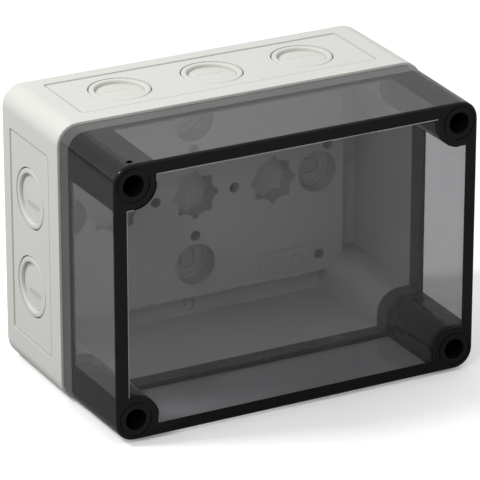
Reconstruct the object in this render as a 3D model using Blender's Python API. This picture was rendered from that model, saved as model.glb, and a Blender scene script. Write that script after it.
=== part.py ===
"""Electrical junction box: a grey wall box with tear-out cable entries and a deep smoked cover.

Units are metres, +Z is up, the cover faces -Y and the back that goes against a wall is at +Y.
The origin is at the middle of the box, on the surface that it stands on.
Depths are measured forwards from the back plane.
"""
import math

import bmesh
import bpy
from mathutils import Matrix, Vector

MM = 0.001

# Overall sizes
WIDTH = 180 * MM
HEIGHT = 130 * MM
DEPTH = 111 * MM
BASE_DEPTH = 58.3 * MM
CORNER_RADIUS = 9.5 * MM
BACK_FILLET = 2.8 * MM

# Clearances
GAP = 0.3 * MM
SEAM_GAP = 0.8 * MM
COVER_SET_IN = 0.8 * MM

# Base shell
WALL = 3.2 * MM
FLOOR = 3.5 * MM
PLATFORM_TOP = 11 * MM
PLATFORM_SKIN = 3.5 * MM
GUTTER_SIDE = 10 * MM
GUTTER_TOP = 12 * MM

# Tongue of the base, which enters the groove of the cover
TONGUE_INSET = 1.9 * MM
TONGUE_THICKNESS = 1.2 * MM
TONGUE_HEIGHT = 3.2 * MM
TONGUE_ROOT = 1.0 * MM

# Cover
COVER_WALL = 2.6 * MM
COVER_DRAFT = 0.6 * MM
COVER_EDGE = 0.8 * MM
COVER_EDGE_SHARE = 0.3
PANE_THICKNESS = 2.6 * MM
WINDOW_RISE = 0.6 * MM
WINDOW_BORDER = 6.0 * MM
RIM_HEIGHT = 8.0 * MM
RIM_SKIRT = 1.6 * MM
GASKET_HEIGHT = 1.8 * MM
GASKET_SQUEEZE_ROOM = 0.3 * MM

# Corner posts and their screws
POST_INSET_SIDE = 10.7 * MM
POST_INSET_TOP = 11.0 * MM
POST_RADIUS = 10.9 * MM
WELL_RADIUS = 4.9 * MM
WELL_FLOOR = 9.5 * MM
RING_LINE_RADIUS = 7.6 * MM
RING_LINE_WIDTH = 0.5 * MM
RING_LINE_DEPTH = 0.5 * MM
SEAL_WIRE_RADIUS = 1.5 * MM
SEAL_WIRE_BACK = 3.6 * MM
SCREW_RADIUS = 2.0 * MM
SCREW_ENGAGEMENT = 9.0 * MM
HEAD_RADIUS = 4.2 * MM
HEAD_HEIGHT = 3.6 * MM
SCREW_EDGE = 0.4 * MM
DRIVE_LENGTH = 5.4 * MM
DRIVE_WIDTH = 1.1 * MM
DRIVE_DEPTH = 2.0 * MM
SEAL_THICKNESS = 1.2 * MM
INSERT_WALL = 1.0 * MM
INSERT_LENGTH = 10.0 * MM
INSERT_BELOW = 4.0 * MM

# Recessed panels on the four sides
PANEL_RECESS = 0.3 * MM
PANEL_RADIUS = 1.5 * MM
PANEL_LINE_INSET = 0.2 * MM
PANEL_LINE_WIDTH = 0.8 * MM
PANEL_LINE_DEPTH = 0.9 * MM
PANEL_BACK_BORDER = 9.0 * MM
PANEL_FRONT_BORDER = 9.5 * MM
PANEL_END_TOP = 16.4 * MM
PANEL_END_SIDE = 17.0 * MM

# Tear-out cable entries, each an outer ring and an inner disc
ENTRY_RADIUS = 14.4 * MM
ENTRY_RING_WIDTH = 3.5 * MM
ENTRY_DISC_SINK = 1.5 * MM
ENTRY_BEAD = 0.6 * MM
ENTRY_FROM_BACK = 28.8 * MM
ENTRY_PITCH_TOP = 45.5 * MM
ENTRY_PITCH_SIDE = 42.0 * MM
ENTRIES_TOP = 3
ENTRIES_SIDE = 2

# Recesses of the raised floor
STAR_PITCH = 40.0 * MM
STAR_BODY_RADIUS = 9.6 * MM
STAR_LOBE_RADIUS = 1.7 * MM
STAR_LOBES = 8
STAR_LOBE_SHIFT = 0.5 * MM
STAR_LOBE_HALF_ANGLE = 96
STAR_DEPTH = 9.0 * MM
PILOT_RADIUS = 2.5 * MM
PILOT_DEPTH = 7.0 * MM
PILOT_PITCH = 20.0 * MM
FIXING_RADIUS = 10.0 * MM
FIXING_DEPTH = 8.3 * MM
FIXING_STEP_RADIUS = 8.2 * MM
FIXING_STEP_DEPTH = 9.2 * MM
FIXING_TOP = 34.0 * MM
FIXING_SIDE = 63.0 * MM
FIXING_SLOT_LENGTH = 11.0 * MM
FIXING_SLOT_WIDTH = 7.6 * MM
FIXING_SLOT_LINE = 0.9 * MM
FIXING_SLOT_DEPTH = 0.8 * MM
GUTTER_SLOT_LENGTH = 8.4 * MM
GUTTER_SLOT_WIDTH = 5.5 * MM
NOTCH_PLACE = 23.0 * MM
NOTCH_WIDTH = 2.4 * MM
NOTCH_REACH = 0.8 * MM
NOTCH_DEPTH = 1.5 * MM
EDGE_PILOT = (68.5 * MM, 12.5 * MM)
CORNER_PILOT = (64.5 * MM, 41.5 * MM)
BADGE_CENTRE = (47.0 * MM, -41.6 * MM)
BADGE_SIZE = (30.0 * MM, 14.0 * MM)
BADGE_RADIUS = 1.2 * MM
BADGE_SINK = 0.4 * MM

# Ribs behind the raised floor
RIB_PITCH = 20.0 * MM
RIB = 2.4 * MM
BOSS_WALL = 1.6 * MM

# Facets
CORNER_STEPS = 6
FILLET_STEPS = 4
LOBE_STEPS = 5
ROUND_STEPS = 24
HOLE_STEPS = 20
PILOT_STEPS = 16
ENTRY_STEPS = 28
OVERRUN = 2 * MM

CORNERS = ((1, 1), (-1, 1), (-1, -1), (1, -1))
CORNER_NAMES = {(1, 1): "top_right", (-1, 1): "top_left", (-1, -1): "bottom_left", (1, -1): "bottom_right"}
POST_X = WIDTH / 2 - POST_INSET_SIDE
POST_Z = HEIGHT / 2 - POST_INSET_TOP
ENTRY_DISC_RADIUS = ENTRY_RADIUS - ENTRY_RING_WIDTH
RIM_DEPTH = BASE_DEPTH + SEAM_GAP
BORDER_DEPTH = DEPTH - WINDOW_RISE
GROOVE_INSET = TONGUE_INSET - GAP
GROOVE_WIDTH = TONGUE_THICKNESS + 2 * GAP
GASKET_BOTTOM = BASE_DEPTH + TONGUE_HEIGHT + GAP
GASKET_TOP = GASKET_BOTTOM + GASKET_HEIGHT
GROOVE_TOP = GASKET_TOP + GASKET_SQUEEZE_ROOM
SEAL_BOTTOM = RIM_DEPTH + WELL_FLOOR + GAP
SEAL_TOP = SEAL_BOTTOM + SEAL_THICKNESS
HEAD_BOTTOM = SEAL_TOP + GAP
INSERT_TOP = BASE_DEPTH - GAP
INSERT_BORE = SCREW_RADIUS + GAP
INSERT_RADIUS = INSERT_BORE + INSERT_WALL


def axes(origin, forward, outward):
    """Matrix whose local Y runs along forward and whose local Z runs along outward."""
    forward = Vector(forward)
    outward = Vector(outward)
    across = forward.cross(outward)
    matrix = Matrix((across, forward, outward)).transposed().to_4x4()
    matrix.translation = Vector(origin)
    return matrix


FRONT = axes((0, DEPTH / 2, HEIGHT / 2), (0, 0, 1), (0, -1, 0))
SIDES = {
    "top": axes((0, DEPTH / 2, HEIGHT), (0, -1, 0), (0, 0, 1)),
    "bottom": axes((0, DEPTH / 2, 0), (0, -1, 0), (0, 0, -1)),
    "left": axes((-WIDTH / 2, DEPTH / 2, HEIGHT / 2), (0, -1, 0), (-1, 0, 0)),
    "right": axes((WIDTH / 2, DEPTH / 2, HEIGHT / 2), (0, -1, 0), (1, 0, 0)),
}


def clear_scene():
    for thing in list(bpy.data.objects):
        bpy.data.objects.remove(thing, do_unlink=True)


def plastic(name, colour, roughness, metallic=0.0, alpha=1.0):
    """A Principled material."""
    material = bpy.data.materials.new(name)
    material.use_nodes = True
    shader = material.node_tree.nodes["Principled BSDF"]
    shader.inputs["Base Color"].default_value = (*colour, 1.0)
    shader.inputs["Roughness"].default_value = roughness
    shader.inputs["Metallic"].default_value = metallic
    shader.inputs["Alpha"].default_value = alpha
    material.diffuse_color = (*colour, alpha)
    return material


# Outlines: lists of (x, y), counter-clockwise

def arc(centre, radius, start, end, steps):
    """Points along an arc, both ends included; angles in degrees."""
    points = []
    for i in range(steps + 1):
        angle = math.radians(start + (end - start) * i / steps)
        points.append((centre[0] + radius * math.cos(angle), centre[1] + radius * math.sin(angle)))
    return points


def circle(centre, radius, steps):
    return arc(centre, radius, 0, 360, steps)[:-1]


def rounded_rectangle(half_width, half_height, radius, centre=(0, 0), steps=CORNER_STEPS):
    points = []
    for quarter, (side, up) in enumerate(CORNERS):
        corner = (centre[0] + side * (half_width - radius), centre[1] + up * (half_height - radius))
        points += arc(corner, radius, 90 * quarter, 90 * quarter + 90, steps)
    return points


def body_outline(inset):
    """Outline of the box, moved inwards."""
    return rounded_rectangle(WIDTH / 2 - inset, HEIGHT / 2 - inset, CORNER_RADIUS - inset)


def room_outline(half_width, half_height):
    """Rectangle with its corners taken up by the screw posts."""
    points = []
    for side, up in CORNERS:
        corner = [(half_width, POST_Z - POST_RADIUS)]
        corner += arc((POST_X, POST_Z), POST_RADIUS, -90, -180, CORNER_STEPS)
        corner += [(POST_X - POST_RADIUS, half_height)]
        if side * up < 0:
            corner.reverse()
        points += [(side * x, up * y) for x, y in corner]
    return points


def star_outline(centre):
    """Round recess with lobes, as a ratchet socket has."""
    reach = STAR_BODY_RADIUS + STAR_LOBE_SHIFT
    points = []
    for lobe in range(STAR_LOBES):
        turn = 90 + 360 * lobe / STAR_LOBES
        middle = (centre[0] + reach * math.cos(math.radians(turn)),
                  centre[1] + reach * math.sin(math.radians(turn)))
        points += arc(middle, STAR_LOBE_RADIUS, turn - STAR_LOBE_HALF_ANGLE,
                      turn + STAR_LOBE_HALF_ANGLE, LOBE_STEPS)
    return points


def slot_outline(centre, half_length, radius, upright):
    """Slot with two round ends."""
    straight = half_length - radius
    points = arc((straight, 0), radius, -90, 90, CORNER_STEPS)
    points += arc((-straight, 0), radius, 90, 270, CORNER_STEPS)
    if upright:
        points = [(-y, x) for x, y in points]
    return [(centre[0] + x, centre[1] + y) for x, y in points]


# Bodies

def new_object(name, mesh, material=None, matrix=None):
    thing = bpy.data.objects.new(name, mesh)
    bpy.context.scene.collection.objects.link(thing)
    if material:
        mesh.materials.append(material)
    if matrix:
        thing.matrix_world = matrix
    return thing


def finish_mesh(name, bm):
    bmesh.ops.recalc_face_normals(bm, faces=bm.faces)
    mesh = bpy.data.meshes.new(name)
    bm.to_mesh(mesh)
    bm.free()
    mesh.shade_smooth()
    mesh.set_sharp_from_angle(angle=math.radians(32))
    return mesh


def add_loft(bm, sections):
    """Closed body through sections, each an outline and its height."""
    rings = [[bm.verts.new((x, y, height)) for x, y in outline] for outline, height in sections]
    for low, high in zip(rings, rings[1:]):
        for i in range(len(low)):
            bm.faces.new((low[i - 1], low[i], high[i], high[i - 1]))
    bm.faces.new(rings[0][::-1])
    bm.faces.new(rings[-1])


def prisms(name, outlines, low, high, matrix=FRONT, material=None):
    """One object of straight-sided bodies that share their two heights."""
    bm = bmesh.new()
    for outline in outlines:
        add_loft(bm, ((outline, low), (outline, high)))
    return new_object(name, finish_mesh(name, bm), material, matrix)


def ring(name, outer, inner, low, high, material=None, matrix=FRONT):
    """Closed band between two outlines of the same number of points."""
    bm = bmesh.new()
    loops = []
    for outline, height in ((outer, low), (outer, high), (inner, high), (inner, low)):
        loops.append([bm.verts.new((x, y, height)) for x, y in outline])
    for now, after in zip(loops, loops[1:] + loops[:1]):
        for i in range(len(now)):
            bm.faces.new((now[i - 1], now[i], after[i], after[i - 1]))
    return new_object(name, finish_mesh(name, bm), material, matrix)


def turned_mesh(name, profile, steps, hollow=False):
    """Body turned about local Z from (radius, height) pairs."""
    bm = bmesh.new()
    loops = []
    for radius, height in profile:
        if radius:
            loops.append([bm.verts.new((x, y, height)) for x, y in circle((0, 0), radius, steps)])
        else:
            loops.append([bm.verts.new((0, 0, height))])
    pairs = list(zip(loops, loops[1:]))
    if hollow:
        pairs.append((loops[-1], loops[0]))
    for now, after in pairs:
        for i in range(steps):
            corners = [now[(i - 1) % len(now)], now[i % len(now)],
                       after[i % len(after)], after[(i - 1) % len(after)]]
            bm.faces.new(list(dict.fromkeys(corners)))
    return finish_mesh(name, bm)


def cutter(thing):
    thing.hide_render = True
    thing.display_type = "WIRE"
    return thing


def combine(target, tools, operation):
    """Boolean modifiers that stay on the target."""
    for tool in tools:
        cutter(tool)
        modifier = target.modifiers.new(tool.name, "BOOLEAN")
        modifier.operation = operation
        modifier.solver = "EXACT"
        modifier.object = tool


def post_places():
    """Name and place of each corner post."""
    for corner in CORNERS:
        yield CORNER_NAMES[corner], (corner[0] * POST_X, corner[1] * POST_Z)


def entry_places():
    """Name and matrix of each cable entry."""
    counts = {"top": ENTRIES_TOP, "bottom": ENTRIES_TOP, "left": ENTRIES_SIDE, "right": ENTRIES_SIDE}
    pitches = {"top": ENTRY_PITCH_TOP, "bottom": ENTRY_PITCH_TOP,
               "left": ENTRY_PITCH_SIDE, "right": ENTRY_PITCH_SIDE}
    for side, count in counts.items():
        for i in range(count):
            along = (i - (count - 1) / 2) * pitches[side]
            yield f"{side}_{i + 1}", SIDES[side] @ Matrix.Translation((along, ENTRY_FROM_BACK, 0))


# Base

def panel_cutters():
    """Shallow recesses that frame the cable entries on each side, with a fine line round each."""
    depth_middle = (PANEL_BACK_BORDER + BASE_DEPTH - PANEL_FRONT_BORDER) / 2
    half_depth = (BASE_DEPTH - PANEL_FRONT_BORDER - PANEL_BACK_BORDER) / 2
    half_lengths = {"top": WIDTH / 2 - PANEL_END_TOP, "bottom": WIDTH / 2 - PANEL_END_TOP,
                    "left": HEIGHT / 2 - PANEL_END_SIDE, "right": HEIGHT / 2 - PANEL_END_SIDE}
    tools = []
    for side, half_length in half_lengths.items():
        outlines = []
        for inset in (0, PANEL_LINE_INSET, PANEL_LINE_INSET + PANEL_LINE_WIDTH):
            outlines.append(rounded_rectangle(half_length - inset, half_depth - inset,
                                              PANEL_RADIUS - inset, (0, depth_middle), 3))
        recess, outer, inner = outlines
        tools.append(prisms(f"cut_panel_{side}", [recess], -PANEL_RECESS, OVERRUN, SIDES[side]))
        tools.append(ring(f"cut_panel_line_{side}", outer, inner, -PANEL_RECESS - PANEL_LINE_DEPTH,
                          OVERRUN / 2 - PANEL_RECESS, matrix=SIDES[side]))
    return tools


def entry_cutters():
    """One round hole through the wall for each cable entry."""
    tools = []
    for name, matrix in entry_places():
        outline = circle((0, 0), ENTRY_RADIUS, ENTRY_STEPS)
        tools.append(prisms(f"cut_entry_{name}", [outline], -WALL - OVERRUN, OVERRUN, matrix))
    return tools


def star_centres():
    return [(place * STAR_PITCH, 0) for place in (-1, 0, 1)]


def fixing_centres():
    return [(0, FIXING_TOP), (0, -FIXING_TOP), (FIXING_SIDE, 0), (-FIXING_SIDE, 0)]


def pilot_centres():
    centres = [(PILOT_PITCH, 0), (-PILOT_PITCH, 0), (0, PILOT_PITCH), (0, -PILOT_PITCH)]
    centres += [EDGE_PILOT, (-EDGE_PILOT[0], -EDGE_PILOT[1])]
    centres += [(side * CORNER_PILOT[0], up * CORNER_PILOT[1]) for side, up in CORNERS]
    return centres


def gutter_slot_centres():
    """Middle of the gutter beside each wall fixing."""
    across = WIDTH / 2 - WALL - GUTTER_SIDE / 2
    up = HEIGHT / 2 - WALL - GUTTER_TOP / 2
    return [(0, up), (0, -up), (across, 0), (-across, 0)]


def slot_groove(name, centre, length, width, floor, top):
    """Cutter for a thin groove along a slot's outline, which runs towards the nearest wall."""
    upright = not centre[0]
    return ring(name, slot_outline(centre, length / 2, width / 2, upright),
                slot_outline(centre, length / 2 - FIXING_SLOT_LINE, width / 2 - FIXING_SLOT_LINE, upright),
                floor - FIXING_SLOT_DEPTH, top)


def platform():
    """Raised floor, which runs into the posts and leaves a lower gutter beside each wall."""
    outline = box_outline((0, 0), WIDTH / 2 - WALL - GUTTER_SIDE, HEIGHT / 2 - WALL - GUTTER_TOP)
    return prisms("add_platform", [outline], FLOOR / 2, PLATFORM_TOP)


def box_outline(centre, half_width, half_height):
    return [(centre[0] + side * half_width, centre[1] + up * half_height) for side, up in CORNERS]


def floor_cutters():
    """Recesses that go down into the raised floor."""
    above = PLATFORM_TOP + OVERRUN / 2
    stars = [star_outline(centre) for centre in star_centres()]
    pilots = [circle(centre, PILOT_RADIUS, PILOT_STEPS) for centre in pilot_centres()]
    fixings = [circle(centre, FIXING_RADIUS, ROUND_STEPS) for centre in fixing_centres()]
    steps = [circle(centre, FIXING_STEP_RADIUS, ROUND_STEPS) for centre in fixing_centres()]
    badge = rounded_rectangle(BADGE_SIZE[0] / 2, BADGE_SIZE[1] / 2, BADGE_RADIUS, BADGE_CENTRE, 3)
    slots = []
    for i, centre in enumerate(fixing_centres()):
        slots.append(slot_groove(f"cut_fixing_slot_{i}", centre, FIXING_SLOT_LENGTH, FIXING_SLOT_WIDTH,
                                 PLATFORM_TOP - FIXING_STEP_DEPTH, PLATFORM_TOP - FIXING_DEPTH))
    for i, centre in enumerate(gutter_slot_centres()):
        slots.append(slot_groove(f"cut_gutter_slot_{i}", centre, GUTTER_SLOT_LENGTH, GUTTER_SLOT_WIDTH,
                                 FLOOR, FLOOR + FIXING_SLOT_DEPTH))
    edge = HEIGHT / 2 - WALL - GUTTER_TOP
    notches = [box_outline((side * NOTCH_PLACE, up * edge), NOTCH_WIDTH / 2, NOTCH_REACH)
               for side, up in CORNERS]
    return [
        *slots,
        prisms("cut_notches", notches, PLATFORM_TOP - NOTCH_DEPTH, above),
        prisms("cut_stars", stars, PLATFORM_TOP - STAR_DEPTH, above),
        prisms("cut_pilots", pilots, PLATFORM_TOP - PILOT_DEPTH, above),
        prisms("cut_fixings", fixings, PLATFORM_TOP - FIXING_DEPTH, above),
        prisms("cut_fixing_steps", steps, PLATFORM_TOP - FIXING_STEP_DEPTH, above),
        prisms("cut_badge", [badge], PLATFORM_TOP - BADGE_SINK, above),
    ]


def rib_pocket_cutters():
    """Pockets in the back, which leave ribs and a boss behind each recess."""
    reach_x = WIDTH / 2 - WALL - GUTTER_SIDE - RIB
    reach_z = HEIGHT / 2 - WALL - GUTTER_TOP - RIB
    half = (RIB_PITCH - RIB) / 2
    columns = int((reach_x - half) / RIB_PITCH)
    rows = int((reach_z + half) / RIB_PITCH)
    outlines = []
    for column in range(-columns, columns + 1):
        for row in range(-rows, rows + 1):
            middle_z = row * RIB_PITCH
            top = min(middle_z + half, reach_z)
            bottom = max(middle_z - half, -reach_z)
            if top - bottom > 2 * RIB:
                middle = (column * RIB_PITCH, (top + bottom) / 2)
                outlines.append(box_outline(middle, half, (top - bottom) / 2))
    pockets = prisms("cut_rib_pockets", outlines, -OVERRUN, PLATFORM_TOP - PLATFORM_SKIN)
    star_reach = STAR_BODY_RADIUS + STAR_LOBE_SHIFT + STAR_LOBE_RADIUS
    low, high = -2 * OVERRUN, PLATFORM_TOP
    bosses = [
        prisms("keep_stars", [circle(c, star_reach + BOSS_WALL, ROUND_STEPS) for c in star_centres()],
               low, high),
        prisms("keep_fixings", [circle(c, FIXING_RADIUS + BOSS_WALL, ROUND_STEPS) for c in fixing_centres()],
               low, high),
        prisms("keep_pilots", [circle(c, PILOT_RADIUS + BOSS_WALL, PILOT_STEPS) for c in pilot_centres()],
               low, high),
    ]
    combine(pockets, bosses, "DIFFERENCE")
    return [pockets]


def insert_pockets():
    """Stepped hole in each post for its threaded insert and the screw's end."""
    wide = []
    narrow = []
    for _, place in post_places():
        wide.append(circle(place, INSERT_RADIUS + GAP, HOLE_STEPS))
        narrow.append(circle(place, INSERT_BORE, HOLE_STEPS))
    bottom = INSERT_TOP - INSERT_LENGTH - GAP
    return [
        prisms("cut_inserts", wide, bottom, BASE_DEPTH + OVERRUN),
        prisms("cut_insert_ends", narrow, bottom - INSERT_BELOW, bottom + OVERRUN),
    ]


def base(material):
    """Wall box, with its rim tongue, posts, raised floor, ribs and entry holes."""
    sections = []
    for step in range(FILLET_STEPS + 1):
        angle = math.radians(90 * step / FILLET_STEPS)
        inset = BACK_FILLET * (1 - math.sin(angle))
        sections.append((body_outline(inset), BACK_FILLET * (1 - math.cos(angle))))
    sections.append((body_outline(0), BASE_DEPTH))
    bm = bmesh.new()
    add_loft(bm, sections)
    shell = new_object("base", finish_mesh("base", bm), material, FRONT)
    room = prisms("cut_room", [room_outline(WIDTH / 2 - WALL, HEIGHT / 2 - WALL)],
                  FLOOR, BASE_DEPTH + OVERRUN)
    tongue = ring("add_tongue", body_outline(TONGUE_INSET), body_outline(TONGUE_INSET + TONGUE_THICKNESS),
                  BASE_DEPTH - TONGUE_ROOT, BASE_DEPTH + TONGUE_HEIGHT)
    combine(shell, [room, *insert_pockets()], "DIFFERENCE")
    combine(shell, [platform(), tongue], "UNION")
    for tools in (floor_cutters(), panel_cutters(), entry_cutters(), rib_pocket_cutters()):
        combine(shell, tools, "DIFFERENCE")
    return shell


def entries(material):
    """Outer ring and inner disc of each tear-out cable entry."""
    face = -PANEL_RECESS
    inside = -WALL
    outer = ENTRY_RADIUS - GAP
    inner = ENTRY_DISC_RADIUS + GAP
    middle = (outer + inner) / 2
    shoulder = face - ENTRY_BEAD
    ring_profile = ((outer, inside), (outer, shoulder), (outer - ENTRY_BEAD, face - ENTRY_BEAD / 3),
                    (middle, face), (inner + ENTRY_BEAD, face - ENTRY_BEAD / 3), (inner, shoulder),
                    (inner, inside))
    disc_face = face - ENTRY_DISC_SINK
    disc_profile = ((0, inside), (ENTRY_DISC_RADIUS, inside), (ENTRY_DISC_RADIUS, disc_face), (0, disc_face))
    ring_mesh = turned_mesh("entry_ring", ring_profile, ENTRY_STEPS, hollow=True)
    disc_mesh = turned_mesh("entry_disc", disc_profile, ENTRY_STEPS)
    ring_mesh.materials.append(material)
    disc_mesh.materials.append(material)
    for name, matrix in entry_places():
        new_object(f"entry_ring_{name}", ring_mesh, None, matrix)
        new_object(f"entry_disc_{name}", disc_mesh, None, matrix)


# Cover and its seal

def cover_half_sizes(depth):
    """Half width and half height of the cover's outside, which narrows towards the front."""
    share = (depth - RIM_DEPTH) / (DEPTH - RIM_DEPTH)
    inset = COVER_SET_IN + COVER_DRAFT * share
    return WIDTH / 2 - inset, HEIGHT / 2 - inset


def cover_outline(depth, inset):
    half_width, half_height = cover_half_sizes(depth)
    radius = CORNER_RADIUS - COVER_SET_IN - inset
    return rounded_rectangle(half_width - inset, half_height - inset, radius)


def cover_room(depth, inset):
    half_width, half_height = cover_half_sizes(depth)
    return room_outline(half_width - inset, half_height - inset)


def cover_rim_inset():
    """From the outside of the cover to the inner face of its grooved rim."""
    return GROOVE_INSET - COVER_SET_IN + GROOVE_WIDTH + RIM_SKIRT


def loft_object(name, sections, material=None):
    bm = bmesh.new()
    add_loft(bm, sections)
    return new_object(name, finish_mesh(name, bm), material, FRONT)


def cover(material):
    """Deep cover with its window, grooved rim and four screw wells."""
    turned_in = COVER_EDGE * COVER_EDGE_SHARE
    body = loft_object("cover", (
        (cover_outline(RIM_DEPTH, 0), RIM_DEPTH),
        (cover_outline(BORDER_DEPTH - COVER_EDGE, 0), BORDER_DEPTH - COVER_EDGE),
        (cover_outline(BORDER_DEPTH, turned_in), BORDER_DEPTH - turned_in),
        (cover_outline(BORDER_DEPTH, COVER_EDGE), BORDER_DEPTH),
    ), material)
    room_top = BORDER_DEPTH - PANE_THICKNESS
    rim_top = RIM_DEPTH + RIM_HEIGHT
    rim_room = loft_object("cut_rim_room", (
        (cover_room(RIM_DEPTH, cover_rim_inset()), RIM_DEPTH - OVERRUN),
        (cover_room(RIM_DEPTH, cover_rim_inset()), rim_top + OVERRUN),
    ))
    main_room = loft_object("cut_main_room", (
        (cover_room(rim_top, COVER_WALL), rim_top),
        (cover_room(room_top, COVER_WALL), room_top),
    ))
    window = prisms("add_window", [cover_room(DEPTH, WINDOW_BORDER)], room_top + PANE_THICKNESS / 2, DEPTH)
    groove = ring("cut_groove", body_outline(GROOVE_INSET), body_outline(GROOVE_INSET + GROOVE_WIDTH),
                  RIM_DEPTH - OVERRUN, GROOVE_TOP)
    places = [place for _, place in post_places()]
    wells = prisms("cut_wells", [circle(p, WELL_RADIUS, ROUND_STEPS) for p in places],
                   RIM_DEPTH + WELL_FLOOR, DEPTH + OVERRUN)
    holes = prisms("cut_screw_holes", [circle(p, SCREW_RADIUS + GAP, HOLE_STEPS) for p in places],
                   RIM_DEPTH - OVERRUN, RIM_DEPTH + WELL_FLOOR + OVERRUN)
    wire_depth = BORDER_DEPTH - SEAL_WIRE_BACK
    wire_hole = prisms("cut_seal_wire", [circle((POST_X, wire_depth), SEAL_WIRE_RADIUS, 12)],
                       -POST_INSET_TOP, OVERRUN, SIDES["top"])
    combine(body, [rim_room, main_room], "DIFFERENCE")
    combine(body, [window], "UNION")
    lines = [
        ring(f"cut_ring_line_{name}", circle(place, RING_LINE_RADIUS + RING_LINE_WIDTH / 2, ROUND_STEPS),
             circle(place, RING_LINE_RADIUS - RING_LINE_WIDTH / 2, ROUND_STEPS),
             BORDER_DEPTH - RING_LINE_DEPTH, BORDER_DEPTH + OVERRUN / 4)
        for name, place in post_places()
    ]
    combine(body, [groove, wells, holes, wire_hole, *lines], "DIFFERENCE")
    return body


def gasket(material):
    """Sealing cord at the bottom of the cover's groove."""
    return ring("cover_gasket", body_outline(TONGUE_INSET), body_outline(TONGUE_INSET + TONGUE_THICKNESS),
                GASKET_BOTTOM, GASKET_TOP, material)


# Screws

def screws(steel, rubber, brass):
    """Captive screw, sealing washer and threaded insert at each corner."""
    tip = INSERT_TOP - SCREW_ENGAGEMENT
    head_top = HEAD_BOTTOM + HEAD_HEIGHT
    screw_profile = ((0, tip), (SCREW_RADIUS - SCREW_EDGE, tip), (SCREW_RADIUS, tip + SCREW_EDGE),
                     (SCREW_RADIUS, HEAD_BOTTOM), (HEAD_RADIUS, HEAD_BOTTOM),
                     (HEAD_RADIUS, head_top - SCREW_EDGE), (HEAD_RADIUS - SCREW_EDGE, head_top),
                     (0, head_top))
    seal_profile = ((HEAD_RADIUS, SEAL_BOTTOM), (HEAD_RADIUS, SEAL_TOP),
                    (SCREW_RADIUS + GAP, SEAL_TOP), (SCREW_RADIUS + GAP, SEAL_BOTTOM))
    insert_profile = ((INSERT_RADIUS, INSERT_TOP - INSERT_LENGTH), (INSERT_RADIUS, INSERT_TOP),
                      (INSERT_BORE, INSERT_TOP), (INSERT_BORE, INSERT_TOP - INSERT_LENGTH))
    screw_mesh = turned_mesh("cover_screw", screw_profile, ROUND_STEPS)
    seal_mesh = turned_mesh("screw_seal", seal_profile, ROUND_STEPS, hollow=True)
    insert_mesh = turned_mesh("threaded_insert", insert_profile, HOLE_STEPS, hollow=True)
    screw_mesh.materials.append(steel)
    seal_mesh.materials.append(rubber)
    insert_mesh.materials.append(brass)
    for name, place in post_places():
        matrix = FRONT @ Matrix.Translation((*place, 0))
        screw = new_object(f"cover_screw_{name}", screw_mesh, None, matrix)
        drive = []
        for turn in (0, 1):
            half = (DRIVE_LENGTH / 2, DRIVE_WIDTH / 2) if turn else (DRIVE_WIDTH / 2, DRIVE_LENGTH / 2)
            drive.append(prisms(f"cut_drive_{name}_{turn}", [box_outline(place, *half)],
                                head_top - DRIVE_DEPTH, head_top + OVERRUN))
        combine(screw, drive, "DIFFERENCE")
        new_object(f"screw_seal_{name}", seal_mesh, None, matrix)
        new_object(f"threaded_insert_{name}", insert_mesh, None, matrix)


def main():
    clear_scene()
    grey = plastic("light_grey_plastic", (0.66, 0.67, 0.64), 0.55)
    smoke = plastic("smoked_clear_plastic", (0.03, 0.03, 0.032), 0.08, alpha=0.55)
    rubber = plastic("black_rubber", (0.03, 0.03, 0.03), 0.8)
    steel = plastic("zinc_plated_steel", (0.55, 0.55, 0.56), 0.35, metallic=1.0)
    brass = plastic("brass", (0.72, 0.55, 0.25), 0.35, metallic=1.0)
    base(grey)
    entries(grey)
    cover(smoke)
    gasket(rubber)
    screws(steel, rubber, brass)


main()
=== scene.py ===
"""Electrical junction box: fine meshes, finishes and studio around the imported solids."""
import math

import bmesh
import bpy
from bpy.props import FloatProperty, FloatVectorProperty, IntProperty, PointerProperty
from mathutils import Matrix, Vector


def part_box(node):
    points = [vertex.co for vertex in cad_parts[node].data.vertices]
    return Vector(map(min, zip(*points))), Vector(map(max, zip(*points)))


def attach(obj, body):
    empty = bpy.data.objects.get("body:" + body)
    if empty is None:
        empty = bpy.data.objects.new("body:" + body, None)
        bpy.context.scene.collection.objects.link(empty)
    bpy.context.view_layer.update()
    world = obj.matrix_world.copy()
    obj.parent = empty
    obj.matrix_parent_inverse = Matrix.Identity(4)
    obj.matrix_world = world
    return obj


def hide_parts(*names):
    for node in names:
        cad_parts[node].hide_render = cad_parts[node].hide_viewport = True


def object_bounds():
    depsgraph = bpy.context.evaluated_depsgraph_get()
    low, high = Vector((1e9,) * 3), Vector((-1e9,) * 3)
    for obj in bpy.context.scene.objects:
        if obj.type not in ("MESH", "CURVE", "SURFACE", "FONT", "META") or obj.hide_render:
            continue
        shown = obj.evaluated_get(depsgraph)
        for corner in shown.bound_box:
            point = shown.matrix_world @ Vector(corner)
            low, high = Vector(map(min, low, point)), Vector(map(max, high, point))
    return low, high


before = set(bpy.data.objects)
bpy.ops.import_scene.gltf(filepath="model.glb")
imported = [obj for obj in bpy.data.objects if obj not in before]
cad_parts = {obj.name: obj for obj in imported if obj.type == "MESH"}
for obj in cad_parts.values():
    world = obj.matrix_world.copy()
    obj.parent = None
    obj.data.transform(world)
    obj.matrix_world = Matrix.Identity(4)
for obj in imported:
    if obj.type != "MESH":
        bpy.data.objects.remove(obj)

bl_info = {
    "name": "Junction box",
    "version": (1, 0, 0),
    "blender": (4, 5, 0),
    "location": "View3D > Sidebar > Junction box",
    "description": "Builds the moulded base, cable entries, smoked cover, seals, screws and studio",
    "category": "Object",
}

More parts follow.
